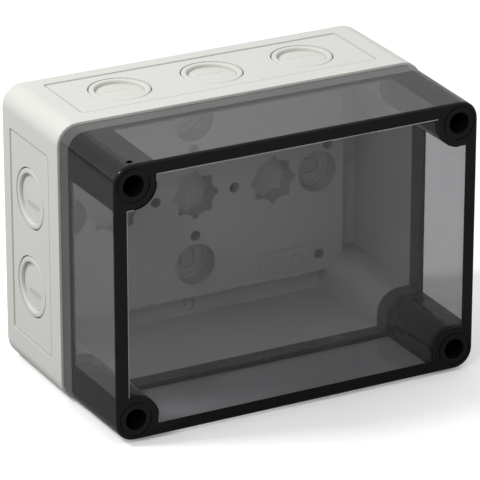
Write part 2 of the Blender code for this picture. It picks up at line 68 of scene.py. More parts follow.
MM = 0.001
CAD_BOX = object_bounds()
CAD_GAP = 0.3 * MM
MERGE = 0.002 * MM
FLAT_ANGLE = math.radians(0.4)
CORNERS = ("top_right", "top_left", "bottom_left", "bottom_right")
OUTWARD = {"top": Vector((0, 0, 1)), "bottom": Vector((0, 0, -1)),
           "left": Vector((-1, 0, 0)), "right": Vector((1, 0, 0))}
ENTRIES = [f"{side}_{i + 1}" for side, count in (("top", 3), ("bottom", 3), ("left", 2), ("right", 2))
           for i in range(count)]

# Frame and two date wheels, flush with the raised floor; places are from the middle of the base
PLATE_RIGHT = 47 * MM
PLATE_DOWN = 41.6 * MM
PLATE_HALF = (13.6 * MM, 5.6 * MM)
PLATE_CORNER = 1.2 * MM
WHEEL_PLACES = (-8 * MM, 6 * MM)
WHEEL_RADII = (3.4 * MM, 1.8 * MM)
WHEEL_STEPS = 40
MARK_LINE = 0.5 * MM
MARK_DEPTH = 0.4 * MM
MARK_ROOT = 0.1 * MM

# Tear-out entries
WEB_INSET = 0.01 * MM
RING_OVERLAP = 0.2 * MM
DISC_OVERLAP = 0.05 * MM
RING_LIP = 0.45 * MM
LIP_DROP = 0.4 * MM
DISC_EDGE = 0.25 * MM
SHORT_TICK = 0.6

# Zones of the cover that take the black painted shade or the pale painted highlight
WELL_RADIUS = 5.3 * MM
WELL_CLEAR_OF_SEAM = 8 * MM
CORNER_BORDER = 3 * MM

# Washers, screws and inserts
WASHER_WIDTH = 1.9 * MM
WASHER_EDGE = 0.35 * MM
WASHER_STEPS = 48
SCREW_EDGE = 0.5 * MM
THREAD_ROWS = 10
THREAD_SLOPE = 2.2
NECK_STEP = 0.2 * MM
CROSS_DEPTH = 2.0 * MM
CROSS_LENGTH = 5.4 * MM
CROSS_WIDTH = 1.1 * MM
CUT_STAGGER = 0.01 * MM
INSERT_WALL = 1.0 * MM
INSERT_EDGE = 0.2 * MM
BORE_EDGE = 0.3 * MM
WAIST_DEPTH = 0.25 * MM
WAIST_HALF = 0.9 * MM
WAIST_SLOPE = 0.3 * MM
KNURLS = 36
KNURL_DEPTH = 0.18 * MM
INSERT_STEPS = 144

# Each light's name, place and width
LIGHTS = (("key", (-0.8, 0.25, 0.96), 0.25),
          ("front", (-0.75, -0.78, 0.87), 0.06),
          ("strip", (0.56, -0.5, 1.12), 0.12))


# Settings

class MouldedSettings(bpy.types.PropertyGroup):
    """Grey plastic of the base and its cable entries."""
    colour: FloatVectorProperty(
        name="Plastic colour", description="Colour of the grey plastic", subtype="COLOR",
        default=(0.60, 0.61, 0.575), min=0, max=1)
    roughness: FloatProperty(
        name="Roughness", description="Roughness of the grey plastic", default=0.5, min=0, max=1)
    grain: FloatProperty(
        name="Grain size", description="Size of the moulded grain", default=0.35 * MM, unit="LENGTH")
    grain_depth: FloatProperty(
        name="Grain depth", description="Depth of the moulded grain", default=0.012 * MM, unit="LENGTH")
    edge: FloatProperty(
        name="Edge radius", description="Rounding of the base's edges", default=0.22 * MM, unit="LENGTH")
    floor_height: FloatProperty(
        name="Floor height", description="Raised floor, forwards from the back",
        default=11 * MM, unit="LENGTH")


class EntrySettings(bpy.types.PropertyGroup):
    """Tear-out cable entries."""
    wall: FloatProperty(
        name="Wall", description="Thickness of the wall at an entry", default=3.2 * MM, unit="LENGTH")
    groove: FloatProperty(
        name="Groove width", description="Width of the groove round the outer ring",
        default=0.7 * MM, unit="LENGTH")
    groove_depth: FloatProperty(
        name="Groove depth", description="Depth of the groove round the outer ring",
        default=2.0 * MM, unit="LENGTH")
    bead: FloatProperty(
        name="Bead radius", description="Rounding of the outer ring's edges",
        default=0.45 * MM, unit="LENGTH")
    steps: IntProperty(name="Steps", description="Facets round an entry", default=72, min=12)
    ticks: IntProperty(name="Size ticks", description="Plain raised ticks on each disc", default=7, min=1)
    tick_height: FloatProperty(
        name="Tick height", description="Height of the plain ticks across the disc",
        default=2.8 * MM, unit="LENGTH")
    tick_width: FloatProperty(
        name="Tick width", description="Width of each tick", default=0.45 * MM, unit="LENGTH")
    tick_pitch: FloatProperty(
        name="Tick pitch", description="From one tick to the next", default=1.8 * MM, unit="LENGTH")
    tick_rise: FloatProperty(
        name="Tick rise", description="How far the ticks stand out of the disc",
        default=0.3 * MM, unit="LENGTH")
    tick_drop: FloatProperty(
        name="Tick place", description="From the middle of the disc to its ticks",
        default=3.2 * MM, unit="LENGTH")


class CoverSettings(bpy.types.PropertyGroup):
    """Smoked cover."""
    tint: FloatVectorProperty(
        name="Tint", description="Colour of the light that the smoked plastic lets through",
        subtype="COLOR", default=(0.5, 0.5, 0.518), min=0, max=1)
    density: FloatProperty(name="Tint density", description="Strength of the tint", default=250, min=0)
    shadow: FloatProperty(
        name="Shadow light", description="Share of light that passes one face of the cover",
        default=0.77, min=0, max=1)
    # Painted shade: the border and the screw wells are near-black, standing in for the dark look of the
    # smoked walls seen end-on and for the shade deep in the wells.
    border: FloatVectorProperty(
        name="Border colour", description="Colour of the black border and screw wells",
        subtype="COLOR", default=(0.006, 0.006, 0.0065), min=0, max=1)
    # Painted shade: the rim at the seam is an opaque dark grey in place of the smoked plastic, standing in
    # for the dim view through the wall there.
    rim: FloatVectorProperty(
        name="Rim colour", description="Colour of the dense rim at the seam", subtype="COLOR",
        default=(0.072, 0.072, 0.072), min=0, max=1)
    rim_height: FloatProperty(
        name="Rim height", description="Height of the dense rim at the seam",
        default=7.9 * MM, unit="LENGTH")
    window_rise: FloatProperty(
        name="Window rise", description="From the black border up to the window's face",
        default=0.6 * MM, unit="LENGTH")
    ring_radius: FloatProperty(
        name="Ring line", description="Radius of the fine ring round each well",
        default=7.6 * MM, unit="LENGTH")


class ScrewSettings(bpy.types.PropertyGroup):
    """Captive screws, their washers and the threaded inserts."""
    pitch: FloatProperty(
        name="Thread pitch", description="Rise of the thread in one turn", default=1.5 * MM, unit="LENGTH")
    thread_depth: FloatProperty(
        name="Thread depth", description="Depth of the thread", default=0.45 * MM, unit="LENGTH")
    head: FloatProperty(
        name="Head height", description="Height of the screw's head", default=3.6 * MM, unit="LENGTH")
    thread: FloatProperty(
        name="Thread length", description="Length of the threaded end", default=9.5 * MM, unit="LENGTH")
    shank: FloatProperty(
        name="Shank radius", description="Radius of the screw's shank", default=2.0 * MM, unit="LENGTH")
    steps: IntProperty(name="Steps", description="Facets round a screw", default=48, min=12)


class StudioSettings(bpy.types.PropertyGroup):
    """Camera, light and floor."""
    camera_place: FloatVectorProperty(
        name="Camera place", description="Where the camera stands", subtype="TRANSLATION",
        default=(-0.747, -1.417, 0.7257))
    camera_turn: FloatProperty(
        name="Camera turn", description="Turn of the camera to the right of straight ahead",
        default=math.radians(27.8), subtype="ANGLE")
    camera_dip: FloatProperty(
        name="Camera dip", description="How far the camera looks down",
        default=math.radians(22.6), subtype="ANGLE")
    lens: FloatProperty(name="Lens", description="Focal length in millimetres", default=292.5)
    world: FloatProperty(name="World light", description="Brightness of the surroundings", default=0.7)
    key: FloatProperty(name="Key light", description="Power of the key light in watts", default=8.2)
    front: FloatProperty(name="Front light", description="Power of the front light in watts", default=2.0)
    strip: FloatProperty(name="Strip light", description="Power of the strip light in watts", default=1.2)
    floor_lift: FloatProperty(
        name="Floor lift", description="Light added to the floor, which softens the shadow", default=0.14)
    floor_share: FloatProperty(
        name="Floor share", description="How much of the white floor shows through the cover",
        default=0.6, min=0, max=1)
    floor_bounce: FloatProperty(
        name="Floor bounce", description="Brightness of the floor in reflections and bounced light",
        default=0.3, min=0, max=1)


class JunctionBoxSettings(bpy.types.PropertyGroup):
    """All sizes and colours of the junction box."""
    moulded: PointerProperty(type=MouldedSettings)
    entries: PointerProperty(type=EntrySettings)
    cover: PointerProperty(type=CoverSettings)
    screws: PointerProperty(type=ScrewSettings)
    studio: PointerProperty(type=StudioSettings)


# Shader groups

def shader_group(name, inputs, outputs):
    """An empty group with its sockets; inputs are (name, default), outputs are (name, socket type)."""
    group = bpy.data.node_groups.get(name)
    if group:
        return group, None, None
    group = bpy.data.node_groups.new(name, "ShaderNodeTree")
    for label, default in inputs:
        kind = "NodeSocketColor" if isinstance(default, tuple) else "NodeSocketFloat"
        socket = group.interface.new_socket(label, in_out="INPUT", socket_type=kind)
        socket.default_value = default
    for label, kind in outputs:
        group.interface.new_socket(label, in_out="OUTPUT", socket_type=kind)
    return group, group.nodes.new("NodeGroupInput"), group.nodes.new("NodeGroupOutput")


def math_node(tree, operation, first, second):
    """A Math node; each operand is a socket or a number."""
    node = tree.nodes.new("ShaderNodeMath")
    node.operation = operation
    for socket, value in zip(node.inputs, (first, second)):
        if isinstance(value, bpy.types.NodeSocket):
            tree.links.new(value, socket)
        else:
            socket.default_value = value
    return node.outputs[0]


def plus(tree, first, second):
    return math_node(tree, "ADD", first, second)


def minus(tree, first, second):
    return math_node(tree, "SUBTRACT", first, second)


def times(tree, first, second):
    return math_node(tree, "MULTIPLY", first, second)


def noise_node(tree, place, scale, detail):
    """Noise from 0 to 1 at a place; the scale is a socket or a number."""
    node = tree.nodes.new("ShaderNodeTexNoise")
    node.inputs["Detail"].default_value = detail
    tree.links.new(place, node.inputs["Vector"])
    if isinstance(scale, bpy.types.NodeSocket):
        tree.links.new(scale, node.inputs["Scale"])
    else:
        node.inputs["Scale"].default_value = scale
    return node.outputs["Fac"]


def shaded(tree, colour, factor):
    """A colour multiplied by a number."""
    node = tree.nodes.new("ShaderNodeVectorMath")
    node.operation = "SCALE"
    tree.links.new(colour, node.inputs[0])
    tree.links.new(factor, node.inputs["Scale"])
    return node.outputs[0]


def moulded_surface_group():
    """Injection-moulded skin: faint clouds in the colour, fine grain and uneven gloss."""
    group, given, made = shader_group(
        "Moulded surface",
        (("Colour", (0.5, 0.5, 0.5, 1.0)), ("Clouds", 0.04), ("Roughness", 0.5), ("Grain Scale", 3000.0)),
        (("Colour", "NodeSocketColor"), ("Roughness", "NodeSocketFloat"), ("Height", "NodeSocketFloat")))
    if not given:
        return group
    cloud_scale, speck_share, gloss_share = 28, 0.5, 0.16
    place = group.nodes.new("ShaderNodeTexCoord").outputs["Object"]
    clouds = minus(group, noise_node(group, place, cloud_scale, 3), 0.5)
    grain = noise_node(group, place, given.outputs["Grain Scale"], 2)
    speck = minus(group, grain, 0.5)
    cloudy = times(group, clouds, given.outputs["Clouds"])
    speckled = times(group, speck, times(group, given.outputs["Clouds"], speck_share))
    tone = plus(group, plus(group, cloudy, speckled), 1.0)
    gloss = times(group, plus(group, clouds, speck), gloss_share)
    group.links.new(shaded(group, given.outputs["Colour"], tone), made.inputs["Colour"])
    group.links.new(plus(group, given.outputs["Roughness"], gloss), made.inputs["Roughness"])
    group.links.new(grain, made.inputs["Height"])
    return group


def handling_marks_group():
    """Mask of sparse fine scuffs, as polished plastic gets when it is handled."""
    group, given, made = shader_group(
        "Handling marks", (("Scale", 180.0), ("Spread", 0.62)), (("Mask", "NodeSocketFloat"),))
    if not given:
        return group
    patch_scale, strength = 35, 3.0
    place = group.nodes.new("ShaderNodeTexCoord").outputs["Object"]
    stretch = group.nodes.new("ShaderNodeMapping")
    stretch.inputs["Rotation"].default_value = (0.5, 0.8, 0.3)
    stretch.inputs["Scale"].default_value = (1.0, 9.0, 1.0)
    group.links.new(place, stretch.inputs["Vector"])
    lines = noise_node(group, stretch.outputs[0], given.outputs["Scale"], 4)
    patches = noise_node(group, place, patch_scale, 2)
    both = times(group, lines, times(group, patches, 2.0))
    scuffs = math_node(group, "MAXIMUM", minus(group, both, given.outputs["Spread"]), 0.0)
    group.links.new(times(group, scuffs, strength), made.inputs["Mask"])
    return group


def turned_metal_group():
    """Lathe-turned metal: fine rings about local Z, with tarnish."""
    group, given, made = shader_group(
        "Turned metal",
        (("Colour", (0.6, 0.6, 0.6, 1.0)), ("Roughness", 0.3), ("Ring Scale", 6000.0), ("Tarnish", 0.25)),
        (("Colour", "NodeSocketColor"), ("Roughness", "NodeSocketFloat"), ("Height", "NodeSocketFloat")))
    if not given:
        return group
    spot_scale, ring_share, dull_share = 900, 0.2, 0.5
    place = group.nodes.new("ShaderNodeTexCoord").outputs["Object"]
    split = group.nodes.new("ShaderNodeSeparateXYZ")
    group.links.new(place, split.inputs[0])
    across = times(group, split.outputs["X"], split.outputs["X"])
    along = times(group, split.outputs["Y"], split.outputs["Y"])
    radius = math_node(group, "SQRT", plus(group, across, along), 0.0)
    lane = group.nodes.new("ShaderNodeCombineXYZ")
    group.links.new(radius, lane.inputs["X"])
    group.links.new(split.outputs["Z"], lane.inputs["Z"])
    rings = noise_node(group, lane.outputs[0], given.outputs["Ring Scale"], 2)
    spots = noise_node(group, place, spot_scale, 4)
    dull = times(group, spots, given.outputs["Tarnish"])
    group.links.new(shaded(group, given.outputs["Colour"], minus(group, 1.1, dull)),
                    made.inputs["Colour"])
    uneven = plus(group, times(group, minus(group, rings, 0.5), ring_share),
                  times(group, dull, dull_share))
    group.links.new(plus(group, given.outputs["Roughness"], uneven), made.inputs["Roughness"])
    group.links.new(rings, made.inputs["Height"])
    return group


# Finishes

def fresh_material(name):
    """A new material, its node tree and its shader."""
    material = bpy.data.materials.new(name)
    material.use_nodes = True
    return material, material.node_tree, material.node_tree.nodes["Principled BSDF"]


def place_group(tree, group, **values):
    """A shader group with its inputs set; an underscore stands for a space in an input's name."""
    node = tree.nodes.new("ShaderNodeGroup")
    node.node_tree = group
    for label, value in values.items():
        node.inputs[label.replace("_", " ")].default_value = value
    return node


def use_height(tree, shader, height, depth):
    """Turns a height into a relief of the given depth."""
    bump = tree.nodes.new("ShaderNodeBump")
    bump.inputs["Distance"].default_value = depth
    bump.inputs["Strength"].default_value = 1.0
    tree.links.new(height, bump.inputs["Height"])
    tree.links.new(bump.outputs["Normal"], shader.inputs["Normal"])


def moulded_finish(name, colour, roughness, grain, depth, clouds=0.04, specular=0.5):
    """Matt moulded plastic or rubber."""
    material, tree, shader = fresh_material(name)
    skin = place_group(tree, moulded_surface_group(), Colour=(*colour, 1.0), Clouds=clouds,
                       Roughness=roughness, Grain_Scale=1 / grain)
    tree.links.new(skin.outputs["Colour"], shader.inputs["Base Color"])
    tree.links.new(skin.outputs["Roughness"], shader.inputs["Roughness"])
    use_height(tree, shader, skin.outputs["Height"], depth)
    shader.inputs["Specular IOR Level"].default_value = specular
    material.diffuse_color = (*colour, 1.0)
    return material


def grey_finish(settings):
    """Light grey plastic of the base and its entries."""
    return moulded_finish("light_grey_plastic", settings.colour, settings.roughness,
                          settings.grain, settings.grain_depth, specular=0.35)


def metal_finish(name, colour, roughness, tarnish):
    """Turned metal with fine rings."""
    material, tree, shader = fresh_material(name)
    turned = place_group(tree, turned_metal_group(), Colour=(*colour, 1.0), Roughness=roughness,
                         Tarnish=tarnish)
    tree.links.new(turned.outputs["Colour"], shader.inputs["Base Color"])
    tree.links.new(turned.outputs["Roughness"], shader.inputs["Roughness"])
    use_height(tree, shader, turned.outputs["Height"], 0.01 * MM)
    shader.inputs["Metallic"].default_value = 1.0
    material.diffuse_color = (*colour, 1.0)
    return material


def smoked_finish(settings):
    """Clear plastic whose tint grows with the thickness that light passes."""
    material, tree, shader = fresh_material("smoked_clear_plastic")
    shader.inputs["Base Color"].default_value = (1, 1, 1, 1)
    shader.inputs["Transmission Weight"].default_value = 1.0
    shader.inputs["IOR"].default_value = 1.45
    marks = place_group(tree, handling_marks_group())
    scuffed, polished = 0.01, 0.012
    roughness = plus(tree, times(tree, marks.outputs["Mask"], scuffed), polished)
    tree.links.new(roughness, shader.inputs["Roughness"])
    output = tree.nodes["Material Output"]
    tint = tree.nodes.new("ShaderNodeVolumeAbsorption")
    tint.inputs["Color"].default_value = (*settings.tint, 1.0)
    tint.inputs["Density"].default_value = settings.density
    tree.links.new(tint.outputs[0], output.inputs["Volume"])
    passed = tree.nodes.new("ShaderNodeBsdfTransparent")
    passed.inputs["Color"].default_value = (settings.shadow,) * 3 + (1.0,)
    ray = tree.nodes.new("ShaderNodeLightPath")
    mix = tree.nodes.new("ShaderNodeMixShader")
    tree.links.new(ray.outputs["Is Shadow Ray"], mix.inputs[0])
    tree.links.new(shader.outputs[0], mix.inputs[1])
    tree.links.new(passed.outputs[0], mix.inputs[2])
    tree.links.new(mix.outputs[0], output.inputs["Surface"])
    material.diffuse_color = (0.05, 0.05, 0.05, 0.5)
    return material


def gloss_finish(name, colour, roughness, specular, clouds=0.1):
    """Smooth opaque plastic with fine handling marks."""
    material, tree, shader = fresh_material(name)
    skin = place_group(tree, moulded_surface_group(), Colour=(*colour, 1.0), Clouds=clouds,
                       Roughness=roughness, Grain_Scale=2500.0)
    marks = place_group(tree, handling_marks_group(), Scale=240.0)
    scuffed = 0.3
    tree.links.new(skin.outputs["Colour"], shader.inputs["Base Color"])
    uneven = plus(tree, skin.outputs["Roughness"], times(tree, marks.outputs["Mask"], scuffed))
    tree.links.new(uneven, shader.inputs["Roughness"])
    use_height(tree, shader, skin.outputs["Height"], 0.002 * MM)
    shader.inputs["Specular IOR Level"].default_value = specular
    material.diffuse_color = (*colour, 1.0)
    return material


# Meshes

def cad_copy(node):
    """Fine copy of a node's mesh, joined up and with its flat faces whole."""
    bm = bmesh.new()
    bm.from_mesh(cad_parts[node].data)
    bmesh.ops.remove_doubles(bm, verts=bm.verts, dist=MERGE)
    bmesh.ops.dissolve_limit(bm, angle_limit=FLAT_ANGLE, verts=bm.verts, edges=bm.edges)
    return bm


def add_piece(name, bm, materials, body, replaced, matrix=None, smooth_angle=34):
    """A finished piece that rides on a body."""
    mesh = bpy.data.meshes.new(name)
    bm.to_mesh(mesh)
    bm.free()
    mesh.shade_smooth()
    mesh.set_sharp_from_angle(angle=math.radians(smooth_angle))
    for material in materials:
        mesh.materials.append(material)
    piece = bpy.data.objects.new(name, mesh)
    bpy.context.scene.collection.objects.link(piece)
    if matrix:
        piece.matrix_world = matrix
    if replaced:
        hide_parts(*replaced)
    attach(piece, body)
    return piece


def soften(piece, width, angle):
    """Rounds the sharp edges with real faces."""
    bevel = piece.modifiers.new("soft_edges", "BEVEL")
    bevel.width = width
    bevel.segments = 2
    bevel.limit_method = "ANGLE"
    bevel.angle_limit = math.radians(angle)
    bevel.use_clamp_overlap = True


def even_normals(piece):
    """Keeps large flat faces flat where they run into small rounded ones."""
    weighted = piece.modifiers.new("even_normals", "WEIGHTED_NORMAL")
    weighted.mode = "FACE_AREA"
    weighted.weight = 100
    weighted.keep_sharp = True


def towards(direction, place):
    """Matrix at a place, with local Z along a direction."""
    matrix = Vector(direction).to_track_quat("Z", "Y").to_matrix().to_4x4()
    matrix.translation = place
    return matrix


def turned(bm, profile, steps, hollow=False, radius_at=None):
    """Faces of a body turned about Z; radius_at(radius, height, angle) may shape the surface."""
    loops = []
    for radius, height in profile:
        if radius:
            loop = []
            for i in range(steps):
                angle = 2 * math.pi * i / steps
                reach = radius_at(radius, height, angle) if radius_at else radius
                loop.append(bm.verts.new((reach * math.cos(angle), reach * math.sin(angle), height)))
            loops.append(loop)
        else:
            loops.append([bm.verts.new((0, 0, height))])
    pairs = list(zip(loops, loops[1:]))
    if hollow:
        pairs.append((loops[-1], loops[0]))
    for now, after in pairs:
        for i in range(steps):
            corners = [now[i - 1 if len(now) > 1 else 0], now[i % len(now)],
                       after[i % len(after)], after[i - 1 if len(after) > 1 else 0]]
            bm.faces.new(list(dict.fromkeys(corners)))
    bmesh.ops.recalc_face_normals(bm, faces=bm.faces)
    return bm


def quarter(centre, radius, start, end, steps=4):
    """Profile points of an arc; angles in degrees."""
    return [(centre[0] + radius * math.cos(math.radians(start + (end - start) * i / steps)),
             centre[1] + radius * math.sin(math.radians(start + (end - start) * i / steps)))
            for i in range(steps + 1)]


def band(bm, outer, inner, low, high):
    """Closed flat band between two outlines in local XY."""
    loops = []
    for outline, height in ((outer, low), (outer, high), (inner, high), (inner, low)):
        loops.append([bm.verts.new((x, y, height)) for x, y in outline])
    for now, after in zip(loops, loops[1:] + loops[:1]):
        for i in range(len(now)):
            bm.faces.new((now[i - 1], now[i], after[i], after[i - 1]))


def rounded_rectangle(half_width, half_height, radius, steps=6):
    """Outline about the middle, anticlockwise from the right."""
    points = []
    for turn, (side, up) in enumerate(((1, 1), (-1, 1), (-1, -1), (1, -1))):
        centre = (side * (half_width - radius), up * (half_height - radius))
        points += quarter(centre, radius, 90 * turn, 90 * turn + 90, steps)
    return points


def circle(centre, radius, steps):
    """Outline of a circle whose centre lies on the X axis."""
    return [(centre + x, y) for x, y in quarter((0, 0), radius, 0, 360, steps)[:-1]]


def middle(node):
    """Middle of a CAD node's box."""
    low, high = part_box(node)
    return (low + high) / 2


# Pieces

def make_base(settings):
    """Moulded base with softened edges."""
    piece = add_piece("moulded_base", cad_copy("base"), [grey_finish(settings)], "base",
                      ["base"])
    soften(piece, settings.edge, 50)
    even_normals(piece)


def make_floor_marks(settings):
    """Blank frame and two plain date wheels, flush with the raised floor."""
    low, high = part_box("base")
    place = Vector((PLATE_RIGHT, high.y - settings.floor_height + MARK_DEPTH,
                    (low.z + high.z) / 2 - PLATE_DOWN))
    matrix = Matrix(((1, 0, 0), (0, 0, -1), (0, 1, 0))).to_4x4()
    matrix.translation = place
    bm = bmesh.new()
    outer = rounded_rectangle(*PLATE_HALF, PLATE_CORNER)
    inner = rounded_rectangle(PLATE_HALF[0] - MARK_LINE, PLATE_HALF[1] - MARK_LINE,
                              PLATE_CORNER - MARK_LINE)
    band(bm, outer, inner, -MARK_ROOT, MARK_DEPTH)
    for wheel in WHEEL_PLACES:
        for radius in WHEEL_RADII:
            band(bm, circle(wheel, radius, WHEEL_STEPS), circle(wheel, radius - MARK_LINE, WHEEL_STEPS),
                 -MARK_ROOT, MARK_DEPTH)
    bmesh.ops.recalc_face_normals(bm, faces=bm.faces)
    add_piece("floor_marks", bm, [bpy.data.materials["light_grey_plastic"]], "base",
              [], matrix)


def entry_profiles(settings, hole, disc, face, sunk):
    """Profiles of the outer ring and the inner disc; heights run outwards from the box's side."""
    inside = -settings.wall + WEB_INSET
    buried = hole + RING_OVERLAP
    bead = settings.bead
    outer = hole - settings.groove
    inner = disc + RING_LIP
    lip = sunk - LIP_DROP
    bottom = face - settings.groove_depth
    ring = [(disc, inside), (buried, inside), (buried, bottom), (outer, bottom)]
    ring += quarter((outer - bead, face - bead), bead, 0, 90)
    ring += quarter((inner + bead, face - bead), bead, 90, 180)
    ring += [(inner, lip), (disc, lip)]
    wide, narrow = disc + DISC_OVERLAP, disc - DISC_OVERLAP
    plate = [(0, inside), (wide, inside), (wide, lip), (narrow, lip)]
    plate += quarter((narrow - DISC_EDGE, sunk - DISC_EDGE), DISC_EDGE, 0, 90)
    plate += [(0, sunk)]
    return ring, plate


def add_ticks(bm, settings, face):
    """Row of plain raised ticks on a disc, in place of lettering."""
    half_width, half_height = settings.tick_width / 2, settings.tick_height / 2
    for i in range(settings.ticks):
        along = (i - (settings.ticks - 1) / 2) * settings.tick_pitch
        reach = half_height * (1.0 if i % 2 else SHORT_TICK)
        outline = [(along + side * half_width, up * reach - settings.tick_drop)
                   for side, up in ((-1, -1), (1, -1), (1, 1), (-1, 1))]
        foot = [bm.verts.new((x, y, face - settings.tick_rise)) for x, y in outline]
        head = [bm.verts.new((x, y, face + settings.tick_rise)) for x, y in outline]
        for j in range(4):
            bm.faces.new((foot[j - 1], foot[j], head[j], head[j - 1]))
        bm.faces.new(head)
        bm.faces.new(foot[::-1])


def make_entries(settings):
    """Outer ring and inner disc of each tear-out entry, closed by a web inside the wall."""
    material = bpy.data.materials["light_grey_plastic"]
    base_low, base_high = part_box("base")
    ring_low, ring_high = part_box("entry_ring_top_1")
    disc_low, disc_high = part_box("entry_disc_top_1")
    hole = (ring_high.x - ring_low.x) / 2 + CAD_GAP
    disc = (disc_high.x - disc_low.x) / 2
    face, sunk = ring_high.z - base_high.z, disc_high.z - base_high.z
    ring_profile, disc_profile = entry_profiles(settings, hole, disc, face, sunk)
    for entry in ENTRIES:
        outward = OUTWARD[entry.split("_")[0]]
        place = middle(f"entry_ring_{entry}")
        for axis in (0, 2):
            if outward[axis]:
                place[axis] = (base_high if outward[axis] > 0 else base_low)[axis]
        matrix = towards(outward, place)
        ring = turned(bmesh.new(), ring_profile, settings.steps, hollow=True)
        add_piece(f"tearout_ring_{entry}", ring, [material], "base",
                  [f"entry_ring_{entry}"], matrix)
        plate = turned(bmesh.new(), disc_profile, settings.steps)
        add_ticks(plate, settings, sunk)
        add_piece(f"tearout_disc_{entry}", plate, [material], "base",
                  [f"entry_disc_{entry}"], matrix)


def cover_zone(face, settings, low, high, posts):
    """Which finish a face of the cover takes: 0 smoked, 1 black painted shade, 2 pale painted highlight on
    the window's step, 3 dark painted shade on the rim.
    """
    centre = face.calc_center_median()
    border = low.y + settings.window_rise
    reach = min((Vector((centre.x, centre.z)) - post).length for post in posts)
    sideways = abs(face.normal.y) < 0.5
    # Painted shade: the walls of the screw wells are plain black.
    if reach < WELL_RADIUS and low.y - MM < centre.y < high.y - WELL_CLEAR_OF_SEAM and sideways:
        return 1
    # Painted shade: black on the front round each well's ring line.
    if reach < settings.ring_radius + 0.5 * MM and centre.y < border + 0.6 * MM:
        return 1
    # Painted shade: black on the border's front face.
    if face.normal.y < -0.9 and abs(centre.y - border) < 0.1 * MM:
        return 1
    outside = max(abs(centre.x) - high.x, abs(centre.z - (low.z + high.z) / 2) - (high.z - low.z) / 2)
    # Painted shade: black on the outer edge's chamfer round the border.
    if face.normal.y < -0.2 and border < centre.y < border + MM and outside > -CORNER_BORDER:
        return 1
    # Sides of the window's step: a pale painted highlight on those facing up and left, black painted shade
    # on the others.
    if sideways and low.y < centre.y < border:
        return 2 if face.normal.z > 0.998 or face.normal.x < -0.998 else 1
    # Painted shade: the band at the seam takes the opaque rim colour.
    return 3 if centre.y > high.y - settings.rim_height else 0


def make_cover(settings):
    """Smoked cover with its black border and black wells in painted shade, a pale painted highlight on the
    window's step and a rim in painted shade.
    """
    low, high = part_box("cover")
    posts = [Vector((middle(f"cover_screw_{corner}").x, middle(f"cover_screw_{corner}").z))
             for corner in CORNERS]
    bm = cad_copy("cover")
    # The cut at the rim's height bounds the band of painted shade at the seam.
    split = Vector((0, high.y - settings.rim_height, 0))
    bmesh.ops.bisect_plane(bm, geom=[*bm.verts, *bm.edges, *bm.faces], plane_co=split,
                           plane_no=(0, 1, 0), dist=0.01 * MM)
    for face in bm.faces:
        face.material_index = cover_zone(face, settings, low, high, posts)
    # Painted shade on the border, wells and rim, and a pale painted highlight on the window's step, in
    # place of the smoked plastic.
    materials = [smoked_finish(settings),
                 gloss_finish("black_border", settings.border, 0.1, 0.26),
                 gloss_finish("polished_edge", (0.7, 0.7, 0.7), 0.15, 0.5),
                 gloss_finish("smoked_rim", settings.rim, 0.14, 0.5, clouds=0.7)]
    piece = add_piece("smoked_cover", bm, materials, "cover", ["cover"],
                      smooth_angle=28)
    even_normals(piece)


def make_seals():
    """Rubber gasket in the cover's groove and a washer under each screw head."""
    rubber = moulded_finish("black_rubber", (0.018, 0.018, 0.018), 0.75, 0.25 * MM, 0.01 * MM,
                            clouds=0.3, specular=0.3)
    gasket = add_piece("sealing_cord", cad_copy("cover_gasket"), [rubber], "cover",
                       ["cover_gasket"])
    soften(gasket, CAD_GAP, 50)
    for corner in CORNERS:
        node = f"screw_seal_{corner}"
        low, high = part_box(node)
        centre = middle(node)
        outer = (high.x - low.x) / 2
        inner = outer - WASHER_WIDTH
        half = (high.y - low.y) / 2
        profile = quarter((outer - WASHER_EDGE, half - WASHER_EDGE), WASHER_EDGE, 0, 90)
        profile += [(inner, half), (inner, -half)]
        profile += quarter((outer - WASHER_EDGE, WASHER_EDGE - half), WASHER_EDGE, -90, 0)
        washer = turned(bmesh.new(), profile, WASHER_STEPS, hollow=True)
        add_piece(f"washer_{corner}", washer, [rubber], f"seal_{corner}", [node],
                  towards((0, -1, 0), centre))


def screw_mesh(settings, length, head_radius):
    """Screw along Z from its tip at 0, with a helical thread and a cross recess."""
    neck = length - settings.head
    edge = SCREW_EDGE
    rows = int(settings.thread / settings.pitch * THREAD_ROWS)
    profile = [(0, 0), (settings.shank - edge, 0.0)]
    profile += [(settings.shank, edge + (settings.thread - edge) * i / rows) for i in range(rows + 1)]
    profile += [(settings.shank, neck - NECK_STEP), (settings.shank + NECK_STEP / 2, neck),
                (head_radius - NECK_STEP, neck), (head_radius, neck + NECK_STEP)]
    profile += quarter((head_radius - edge, length - edge), edge, 0, 90) + [(0, length)]

    def thread(radius, height, angle):
        if not edge <= height <= settings.thread:
            return radius
        phase = (height / settings.pitch - angle / (2 * math.pi)) % 1.0
        run_out = min(1.0, (settings.thread - height) / settings.pitch)
        return radius - settings.thread_depth * run_out * min(1.0, THREAD_SLOPE * abs(phase - 0.5))

    return turned(bmesh.new(), profile, settings.steps, radius_at=thread)


